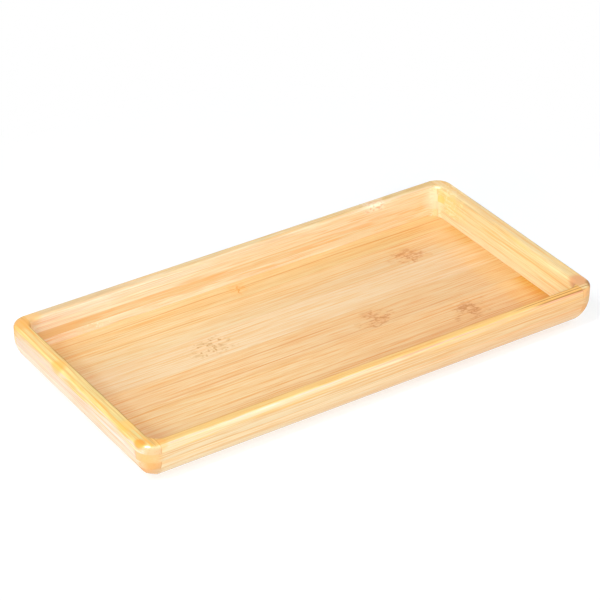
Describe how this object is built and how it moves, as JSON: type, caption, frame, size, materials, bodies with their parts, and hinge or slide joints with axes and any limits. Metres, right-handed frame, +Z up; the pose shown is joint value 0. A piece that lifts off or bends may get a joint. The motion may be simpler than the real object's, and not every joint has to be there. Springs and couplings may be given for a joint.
{
  "type": "serving tray",
  "caption": "Shallow rectangular bamboo tray with rounded corners, a strip-laid floor and lapped ply walls, for serving or for keeping small things together.",
  "frame": {"origin": "centre of the flat underside that the tray rests on", "axes": "+X along the tray's length towards its right wall, +Y across it towards its back wall, +Z up out of the hollow"},
  "size_m": [0.3, 0.1526, 0.028],
  "materials": {
    "floor_bamboo": "clear lacquer, satin gloss",
    "rail_bamboo": "clear lacquer, satin gloss"
  },
  "bodies": {
    "root": {"floor_strip_1": "floor_bamboo", "floor_strip_2": "floor_bamboo", "floor_strip_3": "floor_bamboo", "floor_strip_4": "floor_bamboo", "floor_strip_5": "floor_bamboo", "floor_strip_6": "floor_bamboo", "floor_strip_7": "floor_bamboo", "front_rail_ply_1": "rail_bamboo", "front_rail_ply_2": "rail_bamboo", "front_rail_ply_3": "rail_bamboo", "front_rail_ply_4": "rail_bamboo", "back_rail_ply_1": "rail_bamboo", "back_rail_ply_2": "rail_bamboo", "back_rail_ply_3": "rail_bamboo", "back_rail_ply_4": "rail_bamboo", "left_rail_ply_1": "rail_bamboo", "left_rail_ply_2": "rail_bamboo", "left_rail_ply_3": "rail_bamboo", "left_rail_ply_4": "rail_bamboo", "right_rail_ply_1": "rail_bamboo", "right_rail_ply_2": "rail_bamboo", "right_rail_ply_3": "rail_bamboo", "right_rail_ply_4": "rail_bamboo"}
  },
  "joints": []
}
